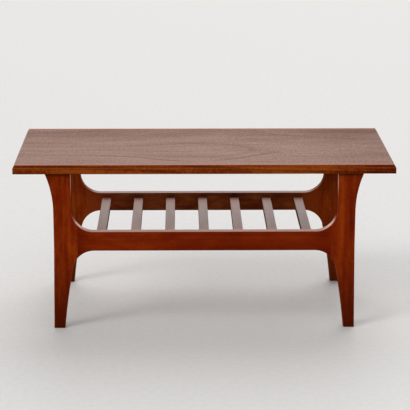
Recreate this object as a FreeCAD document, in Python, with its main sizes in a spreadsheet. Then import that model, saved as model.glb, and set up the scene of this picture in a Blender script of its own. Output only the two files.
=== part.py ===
"""Coffee table with a slatted shelf: two flat leg frames, a veneered top, seven slats.

Millimetres. +X runs along the length, +Y from the front to the back, +Z up. The
origin is on the floor, under the middle of the top.
"""
import FreeCAD, Part
import math
import os
import re

import Sketcher

Vector = FreeCAD.Vector

# Driving dimensions, in millimetres. Each one is a cell of the sheet.
SIZES = {
    "table_length": 1050.0,
    "table_depth": 466.0,
    "table_height": 473.0,
    "core_thickness": 22.4,
    "veneer_thickness": 0.8,
    "lipping_width": 12.0,
    "bevel_run": 5.5,
    "bevel_drop": 8.0,
    "arris_round": 1.5,
    "end_overhang": 107.5,
    "front_overhang": 12.0,
    "frame_thickness": 24.0,
    "edge_round": 1.5,
    "rail_top": 281.0,
    "rail_height": 54.5,
    "waist_width": 50.0,
    "waist_low": 235.0,
    "flare_height": 109.0,
    "flare_radius": 280.0,
    "flare_runout": 8.0,
    "foot_splay": 4.0,
    "foot_width": 30.0,
    "foot_chamfer": 1.0,
    "sweep_radius": 2000.0,
    "web_radius": 60.0,
    "arch_run": 61.0,
    "joint_run": 15.5,
    "slat_margin": 78.9,
    "slat_width": 27.0,
    "slat_thickness": 18.0,
    "slat_drop": 15.0,
    "slat_round": 2.0,
    "tenon_length": 12.0,
    "tenon_width": 20.0,
    "tenon_thickness": 10.0,
    "fit_gap": 0.05,
    "end_gap": 1.0,
    "dowel_diameter": 8.0,
    "dowel_chamfer": 1.0,
    "rail_dowel_length": 40.0,
    "rail_dowel_spread": 56.0,
    "bearer_inset": 19.5,
    "bearer_width": 24.0,
    "bearer_height": 48.0,
    "bearer_chamfer": 2.0,
    "bearer_dowel_length": 36.0,
    "bearer_dowel_in_leg": 15.0,
    "bearer_dowel_spread": 26.0,
    "end_screw_margin": 57.0,
    "screw_length": 48.0,
    "shank_diameter": 4.0,
    "shank_length": 30.0,
    "thread_diameter": 3.8,
    "root_diameter": 2.8,
    "thread_pitch": 1.8,
    "point_length": 3.6,
    "head_diameter": 8.0,
    "head_height": 2.6,
    "head_crown": 0.8,
    "slot_width": 1.1,
    "slot_depth": 1.3,
    "counterbore_diameter": 10.0,
    "counterbore_depth": 16.0,
    "cut_overrun": 5.0,
}

SLAT_COUNT = 7
SCREW_COUNT = 3
SIDES = {"left": -1, "right": 1}
FACES = {"front": -1, "back": 1}

# Derived places, written once as formulas of the sheet's cells. Those across the table
# are measured from its middle, and heights from the floor.
CORE_UNDERSIDE = "(table_height - veneer_thickness - core_thickness)"
TOP_UNDERSIDE = f"({CORE_UNDERSIDE} - veneer_thickness)"
FRAME_INNER = "(table_depth / 2 - front_overhang - frame_thickness)"
FRAME_MIDDLE = f"({FRAME_INNER} + frame_thickness / 2)"
WAIST_X = "(table_length / 2 - end_overhang)"
WAIST_HIGH = f"({TOP_UNDERSIDE} - flare_height)"
LEG_INNER_X = f"({WAIST_X} - waist_width)"
FOOT_OUTER_X = f"({WAIST_X} + foot_splay)"
FOOT_INNER_X = f"({FOOT_OUTER_X} - foot_width)"
JOINT_X = f"({LEG_INNER_X} - joint_run)"
RAIL_BOTTOM = "(rail_top - rail_height)"
RAIL_MIDDLE = "(rail_top - rail_height / 2)"
UPPER_WEB_X = f"({LEG_INNER_X} - web_radius)"
UPPER_WEB_Z = "(rail_top + web_radius)"
LOWER_WEB_X = f"({LEG_INNER_X} - arch_run)"
LOWER_WEB_Z = f"({RAIL_BOTTOM} - web_radius)"
OUTER_SLAT_X = f"({LEG_INNER_X} - slat_margin)"
SLAT_MIDDLE = "(rail_top - slat_drop - slat_thickness / 2)"
BEARER_X = f"({WAIST_X} - bearer_inset)"
BEARER_BOTTOM = f"({TOP_UNDERSIDE} - bearer_height)"
BEARER_MIDDLE = f"({TOP_UNDERSIDE} - bearer_height / 2)"
END_SCREW_Y = f"({FRAME_INNER} - end_screw_margin)"
DOWEL_HOLE = "(dowel_diameter + 2 * fit_gap)"

document = FreeCAD.newDocument("coffee_table")


def make_sheet():
    """Write every driving dimension into a cell of its own, with its alias."""
    sheet = document.addObject("Spreadsheet::Sheet", "Sizes")
    for row, (alias, value) in enumerate(SIZES.items(), start=1):
        sheet.set(f"A{row}", alias)
        sheet.set(f"B{row}", str(value))
        sheet.setAlias(f"B{row}", alias)
    document.recompute()


def formula(text):
    """Point each alias in a formula at its cell of the sheet."""
    return re.sub(r"[a-z]+(_[a-z]+)+", lambda found: "Sizes." + found.group(0), text)


def value_of(text):
    """Work out a formula's number, to draw a sketch near its final shape."""
    return float(document.getObject("Sizes").evalExpression(text))


def point_at(across, up):
    return Vector(value_of(across), value_of(up), 0)


def bind(item, **formulas):
    """Tie properties of an object to formulas; x, y and z stand for its position."""
    for name, text in formulas.items():
        place = {"x": "Placement.Base.x", "y": "Placement.Base.y", "z": "Placement.Base.z"}
        item.setExpression(place.get(name, name), formula(text))


def new_body(name):
    body = document.addObject("PartDesign::Body", name)
    body.Label = name
    return body


def new_sketch(body, name, plane, offset=None):
    """Add a sketch on one of the body's origin planes, moved along its normal by a formula."""
    sketch = body.newObject("Sketcher::SketchObject", f"{body.Name}_{name}")
    support = next(item for item in body.Origin.OriginFeatures if item.Role == plane)
    sketch.AttachmentSupport = [(support, "")]
    sketch.MapMode = "FlatFace"
    if offset:
        sketch.setExpression("AttachmentOffset.Base.z", formula(offset))
    return sketch


def pin(sketch, geometry, point, across=None, up=None):
    """Hold one point of a sketch at formulas measured from the sketch's origin."""
    for kind, text in (("DistanceX", across), ("DistanceY", up)):
        if text:
            held = Sketcher.Constraint(kind, -1, 1, geometry, point, 1.0)
            index = sketch.addConstraint(held)
            sketch.setExpression(f"Constraints[{index}]", formula(text))


def hold_size(sketch, kind, geometry, text):
    """Hold a radius or diameter at a formula."""
    index = sketch.addConstraint(Sketcher.Constraint(kind, geometry, 1.0))
    sketch.setExpression(f"Constraints[{index}]", formula(text))


def draw_lines(sketch, corners):
    """Draw a closed polygon whose corners are pairs of formulas."""
    count = len(corners)
    turns = [math.tau * i / count for i in range(count)]
    spread = [Vector(math.cos(turn), math.sin(turn), 0) for turn in turns]
    for i in range(count):
        sketch.addGeometry(Part.LineSegment(spread[i], spread[(i + 1) % count]), False)
    for i in range(count):
        sketch.addConstraint(Sketcher.Constraint("Coincident", i, 2, (i + 1) % count, 1))
    for i, (across, up) in enumerate(corners):
        pin(sketch, i, 1, across, up)


def draw_rectangle(sketch, width, height, across="0", up="0"):
    """Draw a rectangle of the given size about a centre."""
    draw_lines(sketch, [
        (f"{across} - {width} / 2", f"{up} - {height} / 2"),
        (f"{across} + {width} / 2", f"{up} - {height} / 2"),
        (f"{across} + {width} / 2", f"{up} + {height} / 2"),
        (f"{across} - {width} / 2", f"{up} + {height} / 2"),
    ])


def draw_circles(sketch, diameter, centres):
    for across, up in centres:
        index = sketch.addGeometry(Part.Circle(Vector(0, 0, 0), Vector(0, 0, 1), 1.0), False)
        pin(sketch, index, 3, across, up)
        hold_size(sketch, "Diameter", index, diameter)


def pad(body, sketch, length, both_ways=False):
    feature = body.newObject("PartDesign::Pad", f"{sketch.Name}_pad")
    feature.Profile = sketch
    if both_ways:
        feature.SideType = "Symmetric"
    bind(feature, Length=length)
    return feature


def pocket(body, sketch, length, reverse=False):
    """Cut a sketch into the body; without reverse the cut runs against the sketch's normal."""
    feature = body.newObject("PartDesign::Pocket", f"{sketch.Name}_pocket")
    feature.Profile = sketch
    feature.Reversed = reverse
    bind(feature, Length=length)
    return feature


def mirror(body, feature, plane):
    """Repeat a feature on the other side of one of the body's origin planes."""
    repeat = body.newObject("PartDesign::Mirrored", f"{feature.Name}_mirror")
    repeat.Originals = [feature]
    support = next(item for item in body.Origin.OriginFeatures if item.Role == plane)
    repeat.MirrorPlane = (support, [""])
    body.Tip = repeat
    return repeat


def dress(body, kind, size, wanted):
    """Fillet or chamfer those edges of the body's tip that a test picks."""
    document.recompute()
    base = body.Tip
    names = [f"Edge{i}" for i, edge in enumerate(base.Shape.Edges, start=1) if wanted(edge)]
    feature = body.newObject(f"PartDesign::{kind}", f"{body.Name}_{kind.lower()}")
    feature.Base = (base, names)
    if kind == "Fillet":
        bind(feature, Radius=size)
    else:
        bind(feature, Size=size)
    document.recompute()
    return feature


def middle_of(edge):
    first, last = edge.ParameterRange
    return edge.valueAt((first + last) / 2)


def near(value, target):
    return abs(value - target) < SIZES["fit_gap"]


def even_shares(count):
    """Places spread evenly from -1 to 1, as shares of a distance from the middle."""
    return [2 * index / (count - 1) - 1 for index in range(count)]


def mirrored_copy(name, source, normal):
    """Make the mirror image of a finished piece, through the table's middle."""
    image = document.addObject("Part::Mirroring", name)
    image.Label = name
    image.Source = source
    image.Normal = normal
    return image


# The top: a core board between two veneers, with a mitred hardwood lipping round it.

def screw_places():
    """Centres of the screws that hold the top to the cross bearers."""
    return [(f"{side} * {BEARER_X}", f"{share} * {END_SCREW_Y}")
            for side in SIDES.values() for share in even_shares(SCREW_COUNT)]


def make_top_core():
    body = new_body("top_core")
    board = new_sketch(body, "board", "XY_Plane")
    draw_rectangle(board, "(table_length - 2 * lipping_width)", "(table_depth - 2 * lipping_width)")
    pad(body, board, "core_thickness")
    holes = new_sketch(body, "pilot_holes", "XY_Plane")
    draw_circles(holes, "(thread_diameter + 2 * fit_gap)", screw_places())
    buried = "screw_length - (bearer_height - counterbore_depth) - veneer_thickness + end_gap"
    pocket(body, holes, buried, reverse=True)
    bind(body, z=CORE_UNDERSIDE)
    return body


def make_backing_veneer():
    body = new_body("top_backing_veneer")
    sheet = new_sketch(body, "sheet", "XY_Plane")
    draw_rectangle(sheet, "table_length", "table_depth")
    pad(body, sheet, "veneer_thickness")
    holes = new_sketch(body, "screw_holes", "XY_Plane")
    draw_circles(holes, "(shank_diameter + 2 * fit_gap)", screw_places())
    pocket(body, holes, "veneer_thickness", reverse=True)
    bind(body, z=TOP_UNDERSIDE)
    return body


def make_face_veneer():
    """The show face; its edges carry on the slope of the lipping's bevel."""
    body = new_body("top_face_veneer")
    lower_inset = "bevel_run * (1 - veneer_thickness / bevel_drop)"
    layers = (("glue_face", lower_inset, "0"), ("show_face", "bevel_run", "veneer_thickness"))
    outlines = []
    for name, inset, level in layers:
        outline = new_sketch(body, name, "XY_Plane", level)
        draw_rectangle(outline, f"(table_length - 2 * {inset})", f"(table_depth - 2 * {inset})")
        outlines.append(outline)
    loft = body.newObject("PartDesign::AdditiveLoft", "face_veneer_loft")
    loft.Profile = outlines[0]
    loft.Sections = outlines[1:]
    loft.Ruled = True
    bind(body, z="table_height - veneer_thickness")
    return body


def make_lipping(name, length, reach, turn):
    """One side of the lipping, mitred at both ends, turned to its side of the top.

    It is drawn along X with its show face at -Y, then turned about Z.
    """
    body = new_body(name)
    section = new_sketch(body, "section", "YZ_Plane")
    draw_lines(section, [
        ("-lipping_width", "0"),
        ("0", "0"),
        ("0", "core_thickness"),
        ("-lipping_width + bevel_run * (1 - veneer_thickness / bevel_drop)", "core_thickness"),
        ("-lipping_width", "core_thickness - bevel_drop + veneer_thickness"),
    ])
    pad(body, section, length, both_ways=True)
    bevel_foot = SIZES["core_thickness"] - SIZES["bevel_drop"] + SIZES["veneer_thickness"]
    dress(body, "Fillet", "arris_round", lambda edge: near(middle_of(edge).z, bevel_foot))
    corner = new_sketch(body, "mitre", "XY_Plane")
    draw_lines(corner, [
        (f"{length} / 2 + cut_overrun", "-lipping_width - cut_overrun"),
        (f"{length} / 2 + cut_overrun", "cut_overrun"),
        (f"{length} / 2 - lipping_width - cut_overrun", "cut_overrun"),
    ])
    cut = pocket(body, corner, "core_thickness", reverse=True)
    mirror(body, cut, "YZ_Plane")
    body.Placement.Rotation = FreeCAD.Rotation(Vector(0, 0, 1), turn)
    inward = f"({reach} / 2 - lipping_width)"
    step_x = round(math.sin(math.radians(turn)))
    step_y = -round(math.cos(math.radians(turn)))
    bind(body, x=f"{step_x} * {inward}", y=f"{step_y} * {inward}", z=CORE_UNDERSIDE)
    return body


# The leg frames: a leg at each end of a rail, dowelled at upright joints.

def draw_leg(sketch):
    """Draw the right-hand leg's outline in the frame's plane, across and up from the origin.

    It flares outwards to the top, where the curve runs out straight, tapers to the foot,
    and carries the outer part of the round corners above and below the rail.
    """
    web_radius = SIZES["web_radius"]
    flare_radius = SIZES["flare_radius"]
    upper_web = point_at(UPPER_WEB_X, UPPER_WEB_Z)
    lower_web = point_at(LOWER_WEB_X, LOWER_WEB_Z)
    waist_low = point_at(WAIST_X, "waist_low")
    waist_high = point_at(WAIST_X, WAIST_HIGH)
    foot_inner = point_at(FOOT_INNER_X, "0")
    foot_outer = point_at(FOOT_OUTER_X, "0")
    inner_top = point_at(LEG_INNER_X, TOP_UNDERSIDE)
    inner_low = point_at(LEG_INNER_X, UPPER_WEB_Z)
    joint_x = value_of(JOINT_X)
    flare = waist_high + Vector(flare_radius, 0, 0)
    runout = SIZES["flare_runout"]
    flare_turn = math.asin((SIZES["flare_height"] - runout) / flare_radius)
    flare_end = flare + Vector(-math.cos(flare_turn), math.sin(flare_turn), 0) * flare_radius
    outer_top = flare_end + Vector(math.tan(flare_turn), 1, 0) * runout
    upper_turn = math.acos((joint_x - upper_web.x) / web_radius)
    lower_turn = math.acos((joint_x - lower_web.x) / web_radius)
    joint_top = Vector(joint_x, upper_web.y - web_radius * math.sin(upper_turn), 0)
    joint_low = Vector(joint_x, lower_web.y + web_radius * math.sin(lower_turn), 0)
    sweep, sweep_angles = place_sweep(foot_inner, lower_web)
    up = Vector(0, 0, 1)
    shapes = [
        Part.LineSegment(foot_inner, foot_outer),
        Part.LineSegment(foot_outer, waist_low),
        Part.LineSegment(waist_low, waist_high),
        Part.ArcOfCircle(Part.Circle(flare, up, flare_radius), math.pi - flare_turn, math.pi),
        Part.LineSegment(outer_top, inner_top),
        Part.LineSegment(inner_top, inner_low),
        Part.ArcOfCircle(Part.Circle(upper_web, up, web_radius), -upper_turn, 0),
        Part.LineSegment(joint_top, joint_low),
        Part.ArcOfCircle(Part.Circle(lower_web, up, web_radius), sweep_angles[1], lower_turn),
        Part.ArcOfCircle(Part.Circle(sweep, up, SIZES["sweep_radius"]), *sweep_angles),
        Part.LineSegment(flare_end, outer_top),
    ]
    for shape in shapes:
        sketch.addGeometry(shape, False)
    start, end, centre = 1, 2, 3
    joined = [(0, end, 1, start), (1, end, 2, start), (10, end, 4, start), (4, end, 5, start),
              (6, start, 7, start), (7, end, 8, end), (9, start, 0, start)]
    for link in joined:
        sketch.addConstraint(Sketcher.Constraint("Coincident", *link))
    for link in [(2, end, 3, end), (3, start, 10, start), (5, end, 6, end), (8, start, 9, end)]:
        sketch.addConstraint(Sketcher.Constraint("Tangent", *link))
    pin(sketch, 0, start, FOOT_INNER_X, "0")
    pin(sketch, 0, end, FOOT_OUTER_X, "0")
    pin(sketch, 2, start, WAIST_X, "waist_low")
    pin(sketch, 2, end, WAIST_X, WAIST_HIGH)
    hold_size(sketch, "Radius", 3, "flare_radius")
    pin(sketch, 3, start, None, f"{TOP_UNDERSIDE} - flare_runout")
    pin(sketch, 4, start, None, TOP_UNDERSIDE)
    pin(sketch, 4, end, LEG_INNER_X, TOP_UNDERSIDE)
    pin(sketch, 5, end, LEG_INNER_X, UPPER_WEB_Z)
    hold_size(sketch, "Radius", 6, "web_radius")
    pin(sketch, 7, start, JOINT_X)
    pin(sketch, 7, end, JOINT_X)
    pin(sketch, 8, centre, LOWER_WEB_X, LOWER_WEB_Z)
    hold_size(sketch, "Radius", 8, "web_radius")
    hold_size(sketch, "Radius", 9, "sweep_radius")


def place_sweep(foot_inner, lower_web):
    """Centre and angles of the long arc from the foot to the round corner under the rail.

    Its centre is one sweep radius from the foot's corner, and one sweep radius less
    the web radius from the centre of the round corner, which it meets smoothly.
    """
    long_side = SIZES["sweep_radius"]
    short_side = SIZES["sweep_radius"] - SIZES["web_radius"]
    base = lower_web - foot_inner
    gap = base.Length
    along = (long_side ** 2 - short_side ** 2 + gap ** 2) / (2 * gap)
    aside = math.sqrt(long_side ** 2 - along ** 2)
    direction = base / gap
    across = Vector(-direction.y, direction.x, 0)
    sweep = foot_inner + direction * along + across * aside
    low = foot_inner - sweep
    high = lower_web - sweep
    angles = (math.atan2(low.y, low.x), math.atan2(high.y, high.x))
    return sweep, angles


def bearer_dowel_heights():
    return [f"{BEARER_MIDDLE} + {step} * bearer_dowel_spread / 2" for step in (-1, 1)]


def rail_dowel_heights():
    return [f"{RAIL_MIDDLE} + {step} * rail_dowel_spread / 2" for step in (-1, 1)]


def make_front_right_leg():
    body = new_body("front_right_leg")
    outline = new_sketch(body, "outline", "XZ_Plane")
    draw_leg(outline)
    pad(body, outline, "frame_thickness", both_ways=True)
    joint_x = value_of(JOINT_X)
    top = value_of(TOP_UNDERSIDE)

    def long_arris(edge):
        middle = middle_of(edge)
        on_face = near(abs(middle.y), SIZES["frame_thickness"] / 2)
        at_end = near(middle.x, joint_x) or near(middle.z, top) or near(middle.z, 0)
        return on_face and not at_end

    dress(body, "Fillet", "edge_round", long_arris)
    dress(body, "Chamfer", "foot_chamfer", lambda edge: near(middle_of(edge).z, 0))
    joint = new_sketch(body, "joint_holes", "YZ_Plane", JOINT_X)
    draw_circles(joint, DOWEL_HOLE, [("0", height) for height in rail_dowel_heights()])
    pocket(body, joint, "rail_dowel_length / 2 + end_gap / 2", reverse=True)
    bearer = new_sketch(body, "bearer_holes", "XZ_Plane", "-frame_thickness / 2")
    draw_circles(bearer, DOWEL_HOLE, [(BEARER_X, height) for height in bearer_dowel_heights()])
    pocket(body, bearer, "bearer_dowel_in_leg + end_gap / 2", reverse=True)
    bind(body, y=f"-{FRAME_MIDDLE}")
    return body


def draw_rail(sketch):
    """Draw the rail's outline: straight, with half of each round corner at its ends."""
    web_radius = SIZES["web_radius"]
    upper = point_at(UPPER_WEB_X, UPPER_WEB_Z)
    lower = point_at(LOWER_WEB_X, LOWER_WEB_Z)
    rail_end = value_of(JOINT_X)
    rail_top = SIZES["rail_top"]
    rail_bottom = value_of(RAIL_BOTTOM)
    upper_turn = math.asin((rail_end - upper.x) / web_radius)
    lower_turn = math.asin((rail_end - lower.x) / web_radius)
    joint_top = upper.y - web_radius * math.cos(upper_turn)
    joint_low = lower.y + web_radius * math.cos(lower_turn)
    up = Vector(0, 0, 1)
    down_turn = -math.pi / 2
    up_turn = math.pi / 2

    def arc(side, centre, middle, turn):
        centre = Vector(side * centre.x, centre.y, 0)
        first, last = sorted((middle, middle + side * turn))
        return Part.ArcOfCircle(Part.Circle(centre, up, web_radius), first, last)

    shapes = [
        Part.LineSegment(Vector(-upper.x, rail_top, 0), Vector(upper.x, rail_top, 0)),
        arc(1, upper, down_turn, upper_turn),
        Part.LineSegment(Vector(rail_end, joint_top, 0), Vector(rail_end, joint_low, 0)),
        arc(1, lower, up_turn, -lower_turn),
        Part.LineSegment(Vector(lower.x, rail_bottom, 0), Vector(-lower.x, rail_bottom, 0)),
        arc(-1, lower, up_turn, -lower_turn),
        Part.LineSegment(Vector(-rail_end, joint_low, 0), Vector(-rail_end, joint_top, 0)),
        arc(-1, upper, down_turn, upper_turn),
    ]
    for shape in shapes:
        sketch.addGeometry(shape, False)
    start, end = 1, 2
    for link in [(1, end, 2, start), (2, end, 3, start), (5, end, 6, start), (6, end, 7, start)]:
        sketch.addConstraint(Sketcher.Constraint("Coincident", *link))
    for link in [(0, end, 1, start), (3, end, 4, start), (4, end, 5, start), (7, end, 0, start)]:
        sketch.addConstraint(Sketcher.Constraint("Tangent", *link))
    for index in (1, 3, 5, 7):
        hold_size(sketch, "Radius", index, "web_radius")
    pin(sketch, 0, start, f"-{UPPER_WEB_X}", "rail_top")
    pin(sketch, 0, end, UPPER_WEB_X, "rail_top")
    pin(sketch, 4, start, LOWER_WEB_X, RAIL_BOTTOM)
    pin(sketch, 4, end, f"-{LOWER_WEB_X}", RAIL_BOTTOM)
    pin(sketch, 2, start, JOINT_X)
    pin(sketch, 2, end, JOINT_X)
    pin(sketch, 6, start, f"-{JOINT_X}")
    pin(sketch, 6, end, f"-{JOINT_X}")


def make_front_rail():
    body = new_body("front_rail")
    outline = new_sketch(body, "outline", "XZ_Plane")
    draw_rail(outline)
    pad(body, outline, "frame_thickness", both_ways=True)
    rail_end = value_of(JOINT_X)

    def long_arris(edge):
        middle = middle_of(edge)
        on_face = near(abs(middle.y), SIZES["frame_thickness"] / 2)
        return on_face and not near(abs(middle.x), rail_end)

    dress(body, "Fillet", "edge_round", long_arris)
    joint = new_sketch(body, "joint_holes", "YZ_Plane", JOINT_X)
    draw_circles(joint, DOWEL_HOLE, [("0", height) for height in rail_dowel_heights()])
    holes = pocket(body, joint, "rail_dowel_length / 2 + end_gap / 2")
    mirror(body, holes, "YZ_Plane")
    for number, share in enumerate(even_shares(SLAT_COUNT), start=1):
        mortise = new_sketch(body, f"mortise_{number}", "XZ_Plane", "-frame_thickness / 2")
        draw_rectangle(mortise, "(tenon_width + 2 * fit_gap)", "(tenon_thickness + 2 * fit_gap)",
                       f"{share} * {OUTER_SLAT_X}", SLAT_MIDDLE)
        pocket(body, mortise, "tenon_length + end_gap", reverse=True)
    bind(body, y=f"-{FRAME_MIDDLE}")
    return body


# The shelf: slats let into both rails by stub tenons.

def make_slat(number, share):
    body = new_body(f"shelf_slat_{number}")
    section = new_sketch(body, "section", "XZ_Plane")
    draw_rectangle(section, "slat_width", "slat_thickness")
    pad(body, section, f"(2 * {FRAME_INNER})", both_ways=True)

    def long_arris(edge):
        middle = middle_of(edge)
        at_side = near(abs(middle.x), SIZES["slat_width"] / 2)
        return at_side and near(abs(middle.z), SIZES["slat_thickness"] / 2)

    dress(body, "Fillet", "slat_round", long_arris)
    tenons = new_sketch(body, "tenons", "XZ_Plane")
    draw_rectangle(tenons, "tenon_width", "tenon_thickness")
    pad(body, tenons, f"(2 * {FRAME_INNER} + 2 * tenon_length)", both_ways=True)
    bind(body, x=f"{share} * {OUTER_SLAT_X}", z=SLAT_MIDDLE)
    return body


# The cross bearers: they tie the two frames together under the top and carry it.

def make_cross_bearer(side, sign):
    body = new_body(f"{side}_cross_bearer")
    section = new_sketch(body, "section", "XZ_Plane")
    draw_rectangle(section, "bearer_width", "bearer_height")
    pad(body, section, f"(2 * {FRAME_INNER})", both_ways=True)

    def lower_arris(edge):
        middle = middle_of(edge)
        at_side = near(abs(middle.x), SIZES["bearer_width"] / 2)
        return at_side and near(middle.z, -SIZES["bearer_height"] / 2)

    dress(body, "Chamfer", "bearer_chamfer", lower_arris)
    ends = new_sketch(body, "dowel_holes", "XZ_Plane", FRAME_INNER)
    heights = [f"{step} * bearer_dowel_spread / 2" for step in (-1, 1)]
    draw_circles(ends, DOWEL_HOLE, [("0", height) for height in heights])
    holes = pocket(body, ends, "bearer_dowel_length - bearer_dowel_in_leg + end_gap / 2")
    mirror(body, holes, "XZ_Plane")
    for name, diameter, depth in (
        ("screw_holes", "(shank_diameter + 2 * fit_gap)", "bearer_height"),
        ("counterbores", "counterbore_diameter", "counterbore_depth"),
    ):
        places = new_sketch(body, name, "XY_Plane", "-bearer_height / 2")
        row = [("0", f"{share} * {END_SCREW_Y}") for share in even_shares(SCREW_COUNT)]
        draw_circles(places, diameter, row)
        pocket(body, places, depth, reverse=True)
    bind(body, x=f"{sign} * {BEARER_X}", z=BEARER_MIDDLE)
    return body


# Fixings: dowels and screws, each kind as one group of separate solids.

def make_pattern_piece(name):
    """A body that serves only as the pattern for the copies in a group."""
    body = new_body(name)
    body.Visibility = False
    return body


def revolve(body, sketch, axis):
    feature = body.newObject("PartDesign::Revolution", f"{sketch.Name}_turned")
    feature.Profile = sketch
    support = next(item for item in body.Origin.OriginFeatures if item.Role == axis)
    feature.ReferenceAxis = (support, [""])
    feature.Angle = 360
    return feature


def make_dowel(name, length):
    """A beech dowel along Z with chamfered ends, centred on the origin."""
    body = make_pattern_piece(name)
    profile = new_sketch(body, "profile", "XZ_Plane")
    half = f"{length} / 2"
    draw_lines(profile, [
        ("0", f"-{half}"),
        ("dowel_diameter / 2 - dowel_chamfer", f"-{half}"),
        ("dowel_diameter / 2", f"-{half} + dowel_chamfer"),
        ("dowel_diameter / 2", f"{half} - dowel_chamfer"),
        ("dowel_diameter / 2 - dowel_chamfer", half),
        ("0", half),
    ])
    revolve(body, profile, "Z_Axis")
    return body


def make_screw():
    """A slotted round-head wood screw, point up, with the underside of its head at z = 0."""
    body = make_pattern_piece("screw_pattern")
    profile = new_sketch(body, "profile", "XZ_Plane")
    ridges = round(value_of("(screw_length - point_length - shank_length) / thread_pitch"))
    corners = [
        ("0", "-head_height"),
        ("head_diameter / 4", "-head_height"),
        ("head_diameter / 2", "-head_height + head_crown"),
        ("head_diameter / 2", "0"),
        ("shank_diameter / 2", "0"),
        ("shank_diameter / 2", "shank_length"),
    ]
    for ridge in range(ridges):
        corners.append(("root_diameter / 2", f"shank_length + {ridge + 0.5} * thread_pitch"))
        corners.append(("thread_diameter / 2", f"shank_length + {ridge + 1} * thread_pitch"))
    corners.append(("root_diameter / 2", "screw_length - point_length"))
    corners.append(("0", "screw_length"))
    draw_lines(profile, corners)
    revolve(body, profile, "Z_Axis")
    slot = new_sketch(body, "slot", "XY_Plane", "-head_height")
    draw_rectangle(slot, "(2 * head_diameter)", "slot_width")
    pocket(body, slot, "slot_depth", reverse=True)
    return body


def make_group(name, pattern, places, rotation):
    """Gather placed copies of a pattern piece into one node."""
    copies = []
    for number, (x, y, z) in enumerate(places, start=1):
        copy = document.addObject("App::Link", f"{name}_{number}")
        copy.setLink(pattern)
        copy.Placement.Rotation = rotation
        bind(copy, x=x, y=y, z=z)
        copies.append(copy)
    group = document.addObject("Part::Compound", name)
    group.Label = name
    group.Links = copies
    return group


def make_rail_dowels():
    pattern = make_dowel("rail_dowel_pattern", "rail_dowel_length")
    along_x = FreeCAD.Rotation(Vector(0, 1, 0), 90)
    places = [(f"{side} * {JOINT_X}", f"{face} * {FRAME_MIDDLE}", height)
              for side in SIDES.values() for face in FACES.values() for height in rail_dowel_heights()]
    return make_group("rail_dowels", pattern, places, along_x)


def make_bearer_dowels():
    pattern = make_dowel("bearer_dowel_pattern", "bearer_dowel_length")
    along_y = FreeCAD.Rotation(Vector(1, 0, 0), 90)
    middle = f"({FRAME_INNER} + bearer_dowel_in_leg - bearer_dowel_length / 2)"
    places = [(f"{side} * {BEARER_X}", f"{face} * {middle}", height)
              for side in SIDES.values() for face in FACES.values() for height in bearer_dowel_heights()]
    return make_group("bearer_dowels", pattern, places, along_y)


def make_top_screws():
    seat = f"{BEARER_BOTTOM} + counterbore_depth"
    places = [(x, y, seat) for x, y in screw_places()]
    return make_group("top_screws", make_screw(), places, FreeCAD.Rotation())


def make_table():
    """Build every piece and return the ones that are kept, in order from the top down."""
    pieces = [make_face_veneer(), make_top_core(), make_backing_veneer()]
    pieces.append(make_lipping("front_lipping", "table_length", "table_depth", 0))
    pieces.append(make_lipping("right_lipping", "table_depth", "table_length", 90))
    pieces.append(make_lipping("back_lipping", "table_length", "table_depth", 180))
    pieces.append(make_lipping("left_lipping", "table_depth", "table_length", 270))
    front_right = make_front_right_leg()
    front_left = mirrored_copy("front_left_leg", front_right, Vector(1, 0, 0))
    back_right = mirrored_copy("back_right_leg", front_right, Vector(0, 1, 0))
    back_left = mirrored_copy("back_left_leg", front_left, Vector(0, 1, 0))
    pieces += [front_right, front_left, back_right, back_left]
    front_rail = make_front_rail()
    pieces += [front_rail, mirrored_copy("back_rail", front_rail, Vector(0, 1, 0))]
    for number, share in enumerate(even_shares(SLAT_COUNT), start=1):
        pieces.append(make_slat(number, share))
    for side, sign in SIDES.items():
        pieces.append(make_cross_bearer(side, sign))
    pieces += [make_rail_dowels(), make_bearer_dowels(), make_top_screws()]
    return pieces


def check(pieces):
    """Stop if anything in the document failed, or if a piece is empty or invalid."""
    for item in document.Objects:
        if "Invalid" in item.State or "Error" in item.State:
            raise RuntimeError(f"{item.Name} failed: {item.State}")
    for piece in pieces:
        if piece.Shape.isNull() or not piece.Shape.isValid():
            raise RuntimeError(f"{piece.Label} has no valid shape")


def write(pieces):
    os.makedirs("parts", exist_ok=True)
    for piece in pieces:
        piece.Shape.exportStep(os.path.join("parts", f"{piece.Label}.step"))


make_sheet()
table = make_table()
document.recompute()
check(table)
write(table)
for piece in table:
    box = piece.Shape.BoundBox
    print(f"{piece.Label:20s} solids {len(piece.Shape.Solids)}  volume {piece.Shape.Volume:12.1f}  "
          f"size {box.XLength:.2f} x {box.YLength:.2f} x {box.ZLength:.2f}")
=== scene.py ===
import math

import bpy
from mathutils import Matrix, Vector


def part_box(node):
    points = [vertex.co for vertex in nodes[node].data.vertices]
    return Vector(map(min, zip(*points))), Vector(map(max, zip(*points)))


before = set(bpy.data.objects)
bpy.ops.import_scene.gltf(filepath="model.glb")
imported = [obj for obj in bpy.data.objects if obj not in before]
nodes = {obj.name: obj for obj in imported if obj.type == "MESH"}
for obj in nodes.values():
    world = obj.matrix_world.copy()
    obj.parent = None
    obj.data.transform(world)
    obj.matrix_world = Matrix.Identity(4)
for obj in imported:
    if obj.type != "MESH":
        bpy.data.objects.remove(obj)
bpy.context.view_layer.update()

# The camera, in metres and degrees, with the picture taken as 410 by 410.
PICTURE_SIZE = 410
FOCAL_PIXELS = 1610.74
SENSOR_WIDTH = 36.0
CAMERA_PLACE = Vector((-0.0662, -4.50187, 1.53464))
CAMERA_YAW = math.radians(0.902)
CAMERA_PITCH = math.radians(15.37)
CAMERA_ROLL = math.radians(0.093)

# Lengths in metres.
TABLE_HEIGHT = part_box("top_face_veneer")[1].z
BEVEL_FOOT = TABLE_HEIGHT - 0.008
PORE_DEPTH = 0.00002
TURNING_DEPTH = 0.00003
FLOOR_RELIEF = 0.0002
FLOOR_SIZE = 60.0

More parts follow.
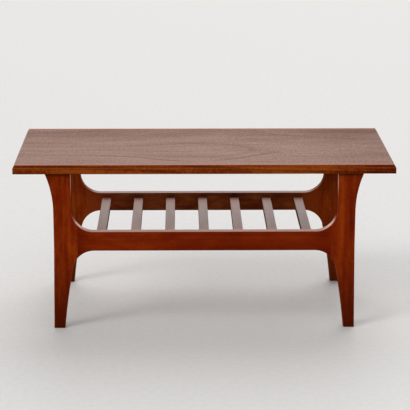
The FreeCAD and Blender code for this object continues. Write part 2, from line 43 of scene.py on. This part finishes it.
# Woods, each with a dark, a middle and a light tone.
VENEER = ((0.085, 0.022, 0.006), (0.168, 0.052, 0.017), (0.248, 0.09, 0.034))
LIPPING = ((0.042, 0.0045, 0.0005), (0.133, 0.0185, 0.0015), (0.25, 0.053, 0.004))
LEG = ((0.08, 0.004, 0.0004), (0.155, 0.0125, 0.0008), (0.25, 0.034, 0.002))
# The back legs' teak, lighter and more orange than the front legs' as painted light.
BACK_LEG = ((0.12, 0.01, 0.001), (0.22, 0.032, 0.003), (0.32, 0.065, 0.008))
RAIL = ((0.08, 0.004, 0.0004), (0.14, 0.01, 0.0006), (0.21, 0.022, 0.0015))
# The back rail's teak, darker in red and more orange than the front rail's as painted shade.
BACK_RAIL = ((0.07, 0.008, 0.002), (0.115, 0.02, 0.004), (0.2, 0.045, 0.009))
SLAT = ((0.14, 0.028, 0.006), (0.23, 0.054, 0.014), (0.32, 0.09, 0.028))
RED_SLAT = ((0.16, 0.026, 0.004), (0.26, 0.047, 0.008), (0.36, 0.08, 0.018))
PLAIN = ((0.16, 0.06, 0.02), (0.24, 0.1, 0.04), (0.32, 0.15, 0.07))
BEECH = ((0.36, 0.2, 0.1), (0.45, 0.28, 0.15), (0.52, 0.35, 0.2))

# Single colours that are laid over the woods, most of them as painted light or shade.
# Painted shade and shadow.
PAINTED_SHADE = (0.03, 0.002, 0.0003)
WARM = (0.28, 0.055, 0.012)
# A painted highlight for the lipping's arris.
LIPPING_HIGHLIGHT = (0.32, 0.1, 0.035)
# A painted highlight for sides that look up.
UPLIT = (0.55, 0.24, 0.16)
# A painted highlight for round corners and the legs' inner arrises.
GLEAM = (0.9, 0.5, 0.36)
# Painted light for the slats' ends.
SLAT_END_LIGHT = (0.3, 0.23, 0.19)

# Steel, floor, sky and haze, and the tint of what a surface mirrors head-on.
STEEL = ((0.42, 0.41, 0.39), (0.6, 0.59, 0.57))
FLOOR = ((0.64, 0.632, 0.62), (0.68, 0.672, 0.66))
SKY = (1.0, 0.99, 0.98)
HAZE = (1.0, 0.9, 0.86)
CLEAR_GLINT = (1.0, 1.0, 1.0)
WOOD_GLINT = (0.3, 0.08, 0.03)
LIPPING_GLINT = (0.3, 0.05, 0.01)

# Painted highlight and shade on the frames' and shelf's boards, and their matt sides, as worn()
# takes it.
FRONT_PAINTED_LIGHT = {"axis": "Y", "matt": 0.95, "fade": 0.7, "upturn": (0.25, 0.65)}
BACK_PAINTED_LIGHT = {"axis": "Y", "matt": 0.95, "fade": 0.2, "upturn": (0.85, 0.99)}
SLAT_PAINTED_LIGHT = {"axis": "Z", "matt": 1.0, "dark": 0.65, "upturn": (0.1, 0.6)}


class Graph:
    """The node tree of a material or the world, with short calls for the few nodes in use."""

    def __init__(self, owner, output="ShaderNodeOutputMaterial"):
        self.owner = owner
        owner.use_nodes = True
        self.tree = owner.node_tree
        self.tree.nodes.clear()
        self.output = self.node(output)

    def node(self, kind, inputs=None, **settings):
        """Add a node with its settings, and feed its inputs by their names or places."""
        made = self.tree.nodes.new(kind)
        for key, value in settings.items():
            setattr(made, key, value)
        for key, value in (inputs or {}).items():
            self.feed(made.inputs[key], value)
        return made

    def feed(self, socket, value):
        """Link a socket to an input, or set the input to a plain value."""
        if isinstance(value, bpy.types.NodeSocket):
            self.tree.links.new(value, socket)
        else:
            socket.default_value = value

    def math(self, operation, first, second=0.0, clamp=False):
        inputs = {0: first, 1: second}
        return self.node("ShaderNodeMath", inputs, operation=operation, use_clamp=clamp).outputs[0]

    def vector(self, operation, first, second):
        inputs = {0: first, 1: second}
        return self.node("ShaderNodeVectorMath", inputs, operation=operation).outputs[0]

    def split(self, point):
        return tuple(self.node("ShaderNodeSeparateXYZ", {0: point}).outputs)

    def join(self, x, y, z):
        return self.node("ShaderNodeCombineXYZ", {0: x, 1: y, 2: z}).outputs[0]

    def noise(self, point, detail, roughness=0.55):
        """Noise of about 0.3 to 0.7 at the scale of the given point."""
        inputs = {"Vector": point, "Scale": 1.0, "Detail": detail, "Roughness": roughness}
        return self.node("ShaderNodeTexNoise", inputs).outputs[0]

    def noise_along(self, value, detail):
        """Noise that changes with one number only."""
        inputs = {"W": value, "Scale": 1.0, "Detail": detail}
        return self.node("ShaderNodeTexNoise", inputs, noise_dimensions="1D").outputs[0]

    def rescale(self, value, low, high, new_low, new_high, smooth=False):
        """Carry a value from one range to another, held at both ends."""
        kind = "SMOOTHSTEP" if smooth else "LINEAR"
        inputs = dict(enumerate((value, low, high, new_low, new_high)))
        made = self.node("ShaderNodeMapRange", inputs, interpolation_type=kind, clamp=True)
        return made.outputs[0]

    def mix(self, share, colour, laid):
        """Lay one plain colour over another colour, by a share."""
        made = self.node("ShaderNodeMix", {0: share}, data_type="RGBA")
        under, over = [socket for socket in made.inputs if socket.type == "RGBA"]
        self.feed(under, colour)
        self.feed(over, (*laid, 1.0))
        return next(socket for socket in made.outputs if socket.type == "RGBA")

    def shades(self, value, stops):
        """A colour ramp through (place, colour) stops."""
        made = self.node("ShaderNodeValToRGB", {0: value})
        ramp = made.color_ramp
        while len(ramp.elements) < len(stops):
            ramp.elements.new(0.5)
        for element, (place, colour) in zip(ramp.elements, stops):
            element.position = place
            element.color = (*colour, 1.0)
        return made.outputs[0]

    def surface(self, colour, roughness, height, depth=1.0, glint=CLEAR_GLINT, coat=0.0,
                haze=0.0, matt=None, metallic=0.0):
        """Finish the material: a glossy surface, with relief of so many metres a unit of height.

        glint tints what is mirrored head-on; at a grazing angle the mirror stays clear. haze
        is a dusty paleness that shows at grazing angles only, and matt the share without gloss.
        """
        relief = self.node("ShaderNodeBump", {"Strength": 0.6, "Distance": depth, "Height": height})
        shader = self.node("ShaderNodeBsdfPrincipled", {
            "Base Color": colour, "Roughness": roughness, "Metallic": metallic,
            "Specular Tint": (*glint, 1.0), "Coat Weight": coat, "Coat Roughness": 0.3,
            "Sheen Weight": haze, "Sheen Roughness": 0.4, "Sheen Tint": (*HAZE, 1.0),
            "Normal": relief.outputs[0]})
        finish = shader.outputs[0]
        if matt is not None:
            plain = self.node("ShaderNodeBsdfDiffuse", {"Color": colour})
            both = self.node("ShaderNodeMixShader", {0: matt, 1: finish, 2: plain.outputs[0]})
            finish = both.outputs[0]
        self.feed(self.output.inputs["Surface"], finish)
        return self.owner


class Grain:
    """A piece's grain space, and the layers of tone that are drawn in it.

    The space is centred on the piece: x runs along the grain, y across the face, and z into
    the board. order names the world's axes that these follow, and rings is a function that
    gives the distance from the heart of the tree.
    """

    def __init__(self, graph, node, order, seed, rings):
        self.graph = graph
        self.place = graph.node("ShaderNodeTexCoord").outputs["Object"]
        low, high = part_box(node)
        middle = [(first + second) / 2 for first, second in zip(low, high)]
        axes = dict(zip("XYZ", graph.split(graph.vector("SUBTRACT", self.place, middle))))
        self.x, self.y, self.z = (axes[letter] for letter in order)
        point = graph.join(self.x, self.y, self.z)
        self.moved = graph.vector("ADD", point, (0.37 * seed, 0.23 * seed, 0.11 * seed))
        self.radius = rings(self)

    def height(self):
        """Height above the floor."""
        return self.graph.split(self.place)[2]

    def noise(self, along, across, detail=2.0, roughness=0.55):
        """Noise with so many repeats a metre along and across the grain."""
        scaled = self.graph.vector("MULTIPLY", self.moved, (along, across, across))
        return self.graph.noise(scaled, detail, roughness)

    def ring_noise(self, width, detail):
        """Noise that follows the rings, with a repeat in each width of radius."""
        return self.graph.noise_along(self.graph.math("MULTIPLY", self.radius, 1 / width), detail)

    def centred(self, value, weight):
        """Turn a value round 0.5 into one round zero, times a weight."""
        return self.graph.math("MULTIPLY", self.graph.math("SUBTRACT", value, 0.5), weight)

    def length_of(self, first, second):
        squares = [self.graph.math("POWER", value, 2.0) for value in (first, second)]
        return self.graph.math("SQRT", self.graph.math("ADD", *squares))

    def near(self, value, centre, reach):
        """1 where the value is at the centre, falling softly to 0 at the reach."""
        away = self.graph.math("ABSOLUTE", self.graph.math("SUBTRACT", value, centre))
        return self.graph.rescale(away, 0.0, reach, 1.0, 0.0, smooth=True)


def board_rings(pith, lean=0.0, waver=0.03):
    """Growth rings round a wavering pith at (across, depth) from the piece's middle.

    The pith is tilted slightly into the board, and lean tilts it across the face.
    """
    slope = 0.02

    def radius(grain):
        graph = grain.graph
        drift = grain.centred(grain.noise(2.2, 7.0), waver)
        drift = graph.math("ADD", drift, graph.math("MULTIPLY", grain.x, lean))
        y = graph.math("ADD", graph.math("SUBTRACT", grain.y, pith[0]), drift)
        z = graph.math("ADD", graph.math("SUBTRACT", grain.z, pith[1]),
                       graph.math("MULTIPLY", grain.x, slope))
        return grain.length_of(y, z)
    return radius


def cathedral_rings(grain):
    """The top's figure: straight grain that swells into one eye, right of the middle."""
    eye_x, eye_y, eye_length, eye_swell = -0.02, -0.05, 0.17, 1.45
    tip_x, tip_slope, tip_reach, waver = 0.02, 0.28, 0.22, 0.03
    graph = grain.graph
    drift = grain.centred(grain.noise(2.6, 9.0, detail=3.0), waver)
    nearness = graph.math("DIVIDE", graph.math("SUBTRACT", grain.x, eye_x), eye_length)
    fade = graph.math("POWER", 1 / math.e, graph.math("POWER", nearness, 2.0))
    width = graph.math("ADD", graph.math("MULTIPLY", fade, eye_swell), 1.0)
    aside = graph.math("ADD", graph.math("SUBTRACT", grain.y, eye_y), drift)
    closing = graph.rescale(grain.x, tip_x, tip_x + tip_reach, 0.0, tip_slope * tip_reach)
    return grain.length_of(graph.math("DIVIDE", aside, width), closing)


def wood(node, order, seed, tones, rings, ring_width=0.007, figure=0.5, lines=0.0, streak=0.5,
         mottle=0.4, blotch=0.0, fleck=0.25, rough=0.34, glint=WOOD_GLINT, coat=0.0, haze=0.0,
         dull=0.0, swell=0.0, accents=(), stains=(), wear=None):
    """Teak or the like: rings, long streaks, slow changes of tone, and fine dark pores.

    figure weighs the rings, lines their dark seams, streak the long streaks, mottle and blotch
    the slow changes, and fleck the short ones. accents are functions of the grain that add to
    the tone, some of them as painted shade or light, and stains are pairs of one that gives a
    share and the colour to lay over it, real colour for some and painted shade, shadow,
    highlight or light for others. dull makes the dark lines less glossy, swell is the height of
    soft ripples in metres, and wear holds what worn() is told, for painted highlights and shade.
    """
    rings_in_band, rings_in_seam = 6, 3.2
    pore_share, pore_roughness, streak_roughness = 0.45, 0.12, 0.04
    graph = Graph(bpy.data.materials.new(f"{node}_wood"))
    grain = Grain(graph, node, order, seed, rings)
    streaks = grain.noise(5.0, 190.0, detail=4.0, roughness=0.6)
    fibres = grain.noise(30.0, 1100.0)
    pores = graph.rescale(grain.noise(70.0, 1500.0, detail=1.0), 0.56, 0.64, 0.0, 1.0, smooth=True)
    seams = grain.ring_noise(rings_in_seam * ring_width, detail=1.0)
    seams = graph.rescale(seams, 0.58, 0.7, 0.0, 1.0, smooth=True)
    layers = (
        (grain.ring_noise(ring_width, detail=2.0), figure),
        (grain.ring_noise(rings_in_band * ring_width, detail=1.0), figure),
        (streaks, streak),
        (fibres, 0.5 * streak),
        (grain.noise(150.0, 110.0), fleck),
        (grain.noise(5.0, 16.0, detail=3.0), mottle),
        (grain.noise(16.0, 45.0, detail=3.0), blotch),
    )
    tone = graph.math("SUBTRACT", 0.5, graph.math("MULTIPLY", seams, lines))
    for layer, weight in layers:
        if weight:
            tone = graph.math("ADD", tone, grain.centred(layer, weight))
    for accent in accents:
        tone = graph.math("ADD", tone, accent(grain))

    dark, middle, light = tones
    colour = graph.shades(tone, ((0.2, dark), (0.5, middle), (0.8, light)))
    colour = graph.mix(graph.math("MULTIPLY", pores, pore_share), colour, dark)
    for share, laid in stains:
        colour = graph.mix(share(grain), colour, laid)
    matt = None
    if wear:
        colour, matt = paint_light_and_matt(grain, colour, light, **wear)

    sheen = graph.rescale(streaks, 0.3, 0.7, rough + streak_roughness, rough - streak_roughness)
    sheen = graph.math("ADD", sheen, graph.math("MULTIPLY", pores, pore_roughness))
    if dull:
        sheen = graph.math("ADD", sheen, graph.rescale(tone, 0.25, 0.6, dull, 0.0))
    height = graph.math("SUBTRACT", graph.math("MULTIPLY", fibres, 0.4), pores)
    height = graph.math("MULTIPLY", height, PORE_DEPTH)
    if swell:
        height = graph.math("ADD", height, grain.centred(grain.noise(130.0, 70.0), swell))
    return graph.surface(colour, sheen, height, glint=glint, coat=coat, haze=haze, matt=matt)


def paint_light_and_matt(grain, colour, light, axis, matt, upturn, edge_highlight=0.0, dark=0.0, fade=0.0, arris=None):
    """A board's colour with painted highlights and shade, and how matt it is.

    The board's two faces look along axis, and its sides look the other ways. rub is how pale
    a painted highlight makes its rounded edges, in a tone paler than light. matt and dark are
    how matt its sides are and how dark painted shade makes them, save where they look up:
    between the two values of upturn, for the upward part of the normal, both end. fade is how
    strong a painted highlight is on the sides that look up. arris is a function that gives
    where a painted highlight gleams on the rounded edges.
    """
    graph = grain.graph
    facings = graph.split(graph.node("ShaderNodeNewGeometry").outputs["Normal"])
    upward = facings[2]
    square = graph.math("POWER", facings["XYZ".index(axis)], 2.0)
    # The rounded edges are painted paler, as a highlight.
    edge = graph.math("MULTIPLY", square, graph.math("SUBTRACT", 1.0, square))
    edge = graph.math("MULTIPLY", edge, 4 * edge_highlight, clamp=True)
    colour = graph.mix(edge, colour, [1.5 * part + 0.05 for part in light])

    # Sides that look up get a painted highlight.
    off_face = graph.rescale(square, 0.0, 0.5, 1.0, 0.0)
    uplit_share = graph.math("MULTIPLY", graph.rescale(upward, 0.2, 0.65, 0.0, fade), off_face)
    colour = graph.mix(uplit_share, colour, UPLIT)
    # Round corners get a paler painted highlight.
    slant = graph.math("MULTIPLY", graph.rescale(upward, 0.3, 0.65, 0.0, fade),
                       graph.rescale(upward, 0.8, 0.98, 1.0, 0.0))
    colour = graph.mix(graph.math("MULTIPLY", slant, off_face), colour, GLEAM)

    # Sides get painted shade by dark, save where they look up; the same share makes them matt.
    side = graph.math("MULTIPLY", graph.rescale(square, 0.5, 0.98, 1.0, 0.0),
                      graph.rescale(upward, *upturn, 1.0, 0.0))
    colour = graph.mix(graph.math("MULTIPLY", side, dark), colour, PAINTED_SHADE)
    # A painted highlight along the rounded edges, where arris gives it.
    if arris:
        gleam = graph.math("MULTIPLY", edge, arris(grain, facings), clamp=True)
        colour = graph.mix(gleam, colour, GLEAM)
    return colour, graph.math("MULTIPLY", side, matt)


def arris_highlight(grain, facings):
    """A painted highlight on the legs' inner arrises where they near the top."""
    graph = grain.graph
    x = graph.split(grain.place)[0]
    inner = graph.rescale(graph.math("MULTIPLY", x, facings[0]), -0.1, 0.0, 1.0, 0.0)
    high = graph.rescale(grain.height(), 0.38, 0.43, 0.0, 3.0)
    return graph.math("MULTIPLY", inner, high)


def shade_at_feet(grain):
    """Legs darken slowly towards the floor, as painted shade."""
    return grain.graph.rescale(grain.height(), 0.0, 0.24, 0.75, 0.0)


def shadow_under_top(grain):
    """A painted shadow where the legs meet the top."""
    return grain.graph.rescale(grain.height(), 0.437, 0.446, 0.0, 0.85)


def shadow_on_back_leg(grain):
    """The right-hand back leg darkens slowly towards the top, as a painted shadow of the top."""
    return grain.graph.rescale(grain.height(), 0.26, 0.35, 0.0, 0.6)


def shade_on_bevel(grain):
    """Painted shade on the lipping's bevel."""
    return grain.graph.rescale(grain.height(), BEVEL_FOOT - 0.001, BEVEL_FOOT + 0.001, 0.0, 0.1)


def arris_highlight_on_lipping(grain):
    """A painted highlight on the arris at the foot of the bevel."""
    return grain.graph.math("MULTIPLY", grain.near(grain.height(), BEVEL_FOOT, 0.002), 0.35)


def oiled_border(grain):
    """The backing veneer's edges took the same oil as the lipping."""
    graph = grain.graph
    near_sides = graph.rescale(graph.math("ABSOLUTE", grain.y), 0.231, 0.2325, 0.0, 1.0)
    near_ends = graph.rescale(graph.math("ABSOLUTE", grain.x), 0.523, 0.5245, 0.0, 1.0)
    return graph.math("MAXIMUM", near_sides, near_ends)


def warm_border(grain):
    """The veneer turns warmer along its front and back edges, over the solid lipping."""
    away = grain.graph.math("ABSOLUTE", grain.y)
    return grain.graph.rescale(away, 0.205, 0.222, 0.0, 0.75)


def orange_ends(grain):
    """The back rail's ends take the back legs' colour, which is lightened as painted light, so
    they run into the legs without a change of tone.
    """
    away = grain.graph.math("ABSOLUTE", grain.x)
    return grain.graph.rescale(away, 0.22, 0.34, 0.0, 0.9, smooth=True)


def light_at_slat_ends(grain):
    """The slats are painted paler towards their ends, as painted light."""
    away = grain.graph.math("ABSOLUTE", grain.x)
    return grain.graph.rescale(away, 0.09, 0.19, 0.0, 0.35, smooth=True)


def back_shade_and_leaf(grain):
    """The top darkens slowly towards the back as painted shade, with a darker step where
    its back leaf begins.
    """
    slope = grain.graph.rescale(grain.y, -0.2, 0.2, 0.03, -0.065)
    step = grain.graph.rescale(grain.y, 0.116, 0.128, 0.0, -0.05)
    return grain.graph.math("ADD", slope, step)


def eye_seam(grain):
    """A dark growth line on the front side of the top's eye, weak at the table's middle."""
    line_radius, line_reach, amount = 0.057, 0.006, -0.2
    graph = grain.graph
    line = grain.near(grain.radius, line_radius, line_reach)
    front = graph.rescale(grain.y, -0.1, -0.04, amount, 0.0)
    ends = graph.rescale(grain.near(grain.x, 0.0, 0.16), 0.0, 1.0, 1.0, 0.25)
    ends = graph.math("SUBTRACT", ends, graph.rescale(grain.x, 0.17, 0.23, 0.0, 1.0))
    return graph.math("MULTIPLY", graph.math("MULTIPLY", line, front), ends)


def patch(centre, reach, amount):
    """A paler or darker patch at a place along the grain."""
    def accent(grain):
        return grain.graph.math("MULTIPLY", grain.near(grain.x, centre, reach), amount)
    return accent


def band(centre, reach, amount, along=None):
    """A paler or darker band along the grain, at a place across it, over part of the length."""
    def accent(grain):
        tone = grain.graph.math("MULTIPLY", grain.near(grain.y, centre, reach), amount)
        if along:
            tone = grain.graph.math("MULTIPLY", tone, grain.near(grain.x, *along))
        return tone
    return accent


def cover(node, material):
    """Give a CAD piece its material."""
    for slot in nodes[node].material_slots:
        slot.material = material


def dress(node, *arguments, **settings):
    """Give a CAD piece its wood."""
    cover(node, wood(node, *arguments, **settings))


def dress_top():
    dress("top_face_veneer", "XYZ", 1, VENEER, cathedral_rings, figure=0.12, lines=0.08,
          streak=0.18, mottle=0.25, fleck=0.4, rough=0.3, dull=0.3, swell=0.00004,
          accents=(back_shade_and_leaf, eye_seam, patch(0.5, 0.35, -0.1)), stains=((warm_border, WARM),))
    dress("top_backing_veneer", "XYZ", 2, PLAIN, board_rings((0.4, -0.1)),
          stains=((oiled_border, LIPPING[0]),))
    dress("top_core", "XYZ", 3, BEECH, board_rings((0.4, -0.1)))


def dress_lipping():
    # The lipping gets painted shade on its bevel and a painted highlight on the arris below.
    look = {"ring_width": 0.01, "figure": 0.8, "mottle": 0.6, "blotch": 0.5, "fleck": 0.7,
            "glint": LIPPING_GLINT, "stains": ((shade_on_bevel, PAINTED_SHADE), (arris_highlight_on_lipping, LIPPING_HIGHLIGHT))}
    patches = (patch(0.54, 0.17, -0.4), patch(0.06, 0.14, -0.06), patch(-0.26, 0.16, 0.14),
               patch(-0.5, 0.12, -0.1), patch(0.26, 0.16, 0.12))
    rings = board_rings((-0.06, 0.01), lean=0.045, waver=0.02)
    for seed, side in enumerate(("front", "back"), start=4):
        dress(f"{side}_lipping", "XZY", seed, LIPPING, rings, **look, accents=patches)
    for seed, side in enumerate(("left", "right"), start=6):
        dress(f"{side}_lipping", "YZX", seed, LIPPING, rings, **look)


def dress_legs():
    accents = {
        "front_left": (band(0.02, 0.016, 0.14, (0.03, 0.1)), patch(0.03, 0.25, 0.09)),
        "front_right": (band(-0.016, 0.014, 0.2, (0.1, 0.25)), band(0.03, 0.02, -0.12),
                        patch(0.2, 0.1, 0.08)),
    }
    corners = ("front_left", "front_right", "back_left", "back_right")
    for seed, corner in enumerate(corners, start=8):
        front = corner.startswith("front")
        # Painted shade towards the feet and a painted shadow where the legs meet the top.
        stains = [(shade_at_feet, PAINTED_SHADE), (shadow_under_top, PAINTED_SHADE)]
        # The right-hand back leg also gets a painted shadow of the top.
        if corner == "back_right":
            stains.append((shadow_on_back_leg, PAINTED_SHADE))
        dress(f"{corner}_leg", "ZXY", seed, LEG if front else BACK_LEG, board_rings((0.1, 0.04)),
              figure=0.25, streak=0.2, blotch=0.7, fleck=0.2, rough=0.14,
              wear=dict(FRONT_PAINTED_LIGHT if front else BACK_PAINTED_LIGHT, edge_highlight=0.4, arris=arris_highlight),
              stains=stains, accents=accents.get(corner, ()))


def dress_rails():
    look = {"figure": 0.3, "streak": 0.3, "fleck": 0.15, "rough": 0.14}
    rings = board_rings((0.2, 0.02))
    dress("front_rail", "XZY", 12, RAIL, rings, **look, blotch=0.6, wear=dict(FRONT_PAINTED_LIGHT, edge_highlight=0.2),
          accents=(patch(-0.35, 0.03, -0.12), patch(0.33, 0.04, -0.15), patch(-0.25, 0.2, 0.12)))
    dress("back_rail", "XZY", 13, BACK_RAIL, rings, **look, mottle=0.8, blotch=1.6, haze=0.3,
          wear=dict(BACK_PAINTED_LIGHT, edge_highlight=0.2), stains=((orange_ends, BACK_LEG[1]),))


def dress_shelf():
    red_slats = (2, 3, 5)
    paler = {1: 0.2, 2: 0.2}
    for number in range(1, 8):
        tones = RED_SLAT if number in red_slats else SLAT
        # Far ends painted paler as painted reflection, both ends painted light, sides painted
        # shade.
        dress(f"shelf_slat_{number}", "YXZ", 13 + number, tones, board_rings((0.0, 0.1)),
              streak=0.25, coat=0.15, haze=0.7, wear=SLAT_PAINTED_LIGHT,
              accents=(patch(0.2, 0.2, 0.3), patch(-0.1, 0.2, paler.get(number, 0.0))),
              stains=((light_at_slat_ends, SLAT_END_LIGHT),))


def dress_underside():
    for seed, side in enumerate(("left", "right"), start=21):
        dress(f"{side}_cross_bearer", "YZX", seed, PLAIN, board_rings((0.1, 0.1)))
    for seed, group in enumerate(("rail_dowels", "bearer_dowels"), start=23):
        dress(group, "XYZ", seed, BEECH, board_rings((0.3, 0.1)))


def dress_screws():
    """Bright screw steel with fine turning marks."""
    graph = Graph(bpy.data.materials.new("screw_steel"))
    place = graph.node("ShaderNodeTexCoord").outputs["Object"]
    marks = graph.noise(graph.vector("MULTIPLY", place, (400.0, 400.0, 2500.0)), detail=2.0)
    colour = graph.shades(marks, tuple(zip((0.35, 0.65), STEEL)))
    roughness = graph.rescale(marks, 0.3, 0.7, 0.3, 0.45)
    cover("top_screws", graph.surface(colour, roughness, marks, TURNING_DEPTH, metallic=1.0))


def make_floor():
    """A plain pale floor, large enough to fill the picture."""
    graph = Graph(bpy.data.materials.new("floor_paint"))
    place = graph.node("ShaderNodeTexCoord").outputs["Object"]
    grains = graph.noise(graph.vector("MULTIPLY", place, (60.0, 60.0, 60.0)), detail=3.0)
    colour = graph.shades(grains, tuple(zip((0.3, 0.7), FLOOR)))
    bpy.ops.mesh.primitive_plane_add(size=FLOOR_SIZE)
    floor = bpy.context.object
    floor.name = "floor"
    floor.data.materials.append(graph.surface(colour, 0.6, grains, FLOOR_RELIEF))


def light_world():
    """Pale surroundings for the eye and for gloss, and a softer level for everything lit.

    Both fade from the horizon to a darker level overhead; behind the table the fade sits higher.
    """
    fade_low, fade_high, drop_behind = 0.45, 0.9, -0.5
    lit_levels, shown_levels = (0.6, 0.45), (1.0, 0.35)
    world = bpy.data.worlds.new("studio")
    bpy.context.scene.world = world
    graph = Graph(world, "ShaderNodeOutputWorld")
    path = graph.node("ShaderNodeLightPath").outputs
    seen = path["Is Camera Ray"]
    for kind in ("Is Glossy Ray", "Is Transmission Ray"):
        seen = graph.math("MAXIMUM", seen, path[kind])
    y, z = graph.split(graph.node("ShaderNodeTexCoord").outputs["Generated"])[1:]
    behind = graph.math("MAXIMUM", y, 0.0)
    height = graph.math("ADD", graph.math("MULTIPLY", behind, drop_behind), z)
    lit = graph.rescale(height, fade_low, fade_high, *lit_levels, smooth=True)
    shown = graph.rescale(height, fade_low, fade_high, *shown_levels, smooth=True)
    background = graph.node("ShaderNodeBackground", {
        "Color": (*SKY, 1.0), "Strength": graph.rescale(seen, 0.0, 1.0, lit, shown)})
    graph.feed(graph.output.inputs["Surface"], background.outputs[0])


def add_sun(name, azimuth, elevation, spread, strength):
    """A broad soft light from a direction, in degrees; azimuth 0 is the camera's side."""
    data = bpy.data.lights.new(name, "SUN")
    data.angle = math.radians(spread)
    data.energy = strength
    lamp = bpy.data.objects.new(name, data)
    turn = math.radians(azimuth)
    rise = math.radians(elevation)
    source = Vector((math.sin(turn) * math.cos(rise),
                     -math.cos(turn) * math.cos(rise),
                     math.sin(rise)))
    lamp.rotation_euler = source.to_track_quat("Z", "Y").to_euler()
    bpy.context.scene.collection.objects.link(lamp)


def light_studio():
    light_world()
    add_sun("key", -55.0, 42.0, 20.0, 0.7)
    add_sun("fill", -15.0, 40.0, 70.0, 0.6)
    add_sun("rim", 170.0, 50.0, 50.0, 1.2)


def add_camera():
    """The camera at the photograph's place, looking slightly down."""
    data = bpy.data.cameras.new("camera")
    data.sensor_width = SENSOR_WIDTH
    data.lens = FOCAL_PIXELS * SENSOR_WIDTH / PICTURE_SIZE
    data.clip_end = 200.0
    camera = bpy.data.objects.new("camera", data)
    forward = Vector((math.sin(CAMERA_YAW) * math.cos(CAMERA_PITCH),
                      math.cos(CAMERA_YAW) * math.cos(CAMERA_PITCH),
                      -math.sin(CAMERA_PITCH)))
    level = Vector((math.cos(CAMERA_YAW), -math.sin(CAMERA_YAW), 0.0))
    upright = level.cross(forward)
    right = math.cos(CAMERA_ROLL) * level + math.sin(CAMERA_ROLL) * upright
    up = math.cos(CAMERA_ROLL) * upright - math.sin(CAMERA_ROLL) * level
    turn = Matrix((right, up, -forward)).transposed()
    camera.matrix_world = Matrix.Translation(CAMERA_PLACE) @ turn.to_4x4()
    bpy.context.scene.collection.objects.link(camera)
    bpy.context.scene.camera = camera


dress_top()
dress_lipping()
dress_legs()
dress_rails()
dress_shelf()
dress_underside()
dress_screws()
make_floor()
light_studio()
add_camera()
bpy.context.scene.view_settings.view_transform = "Standard"
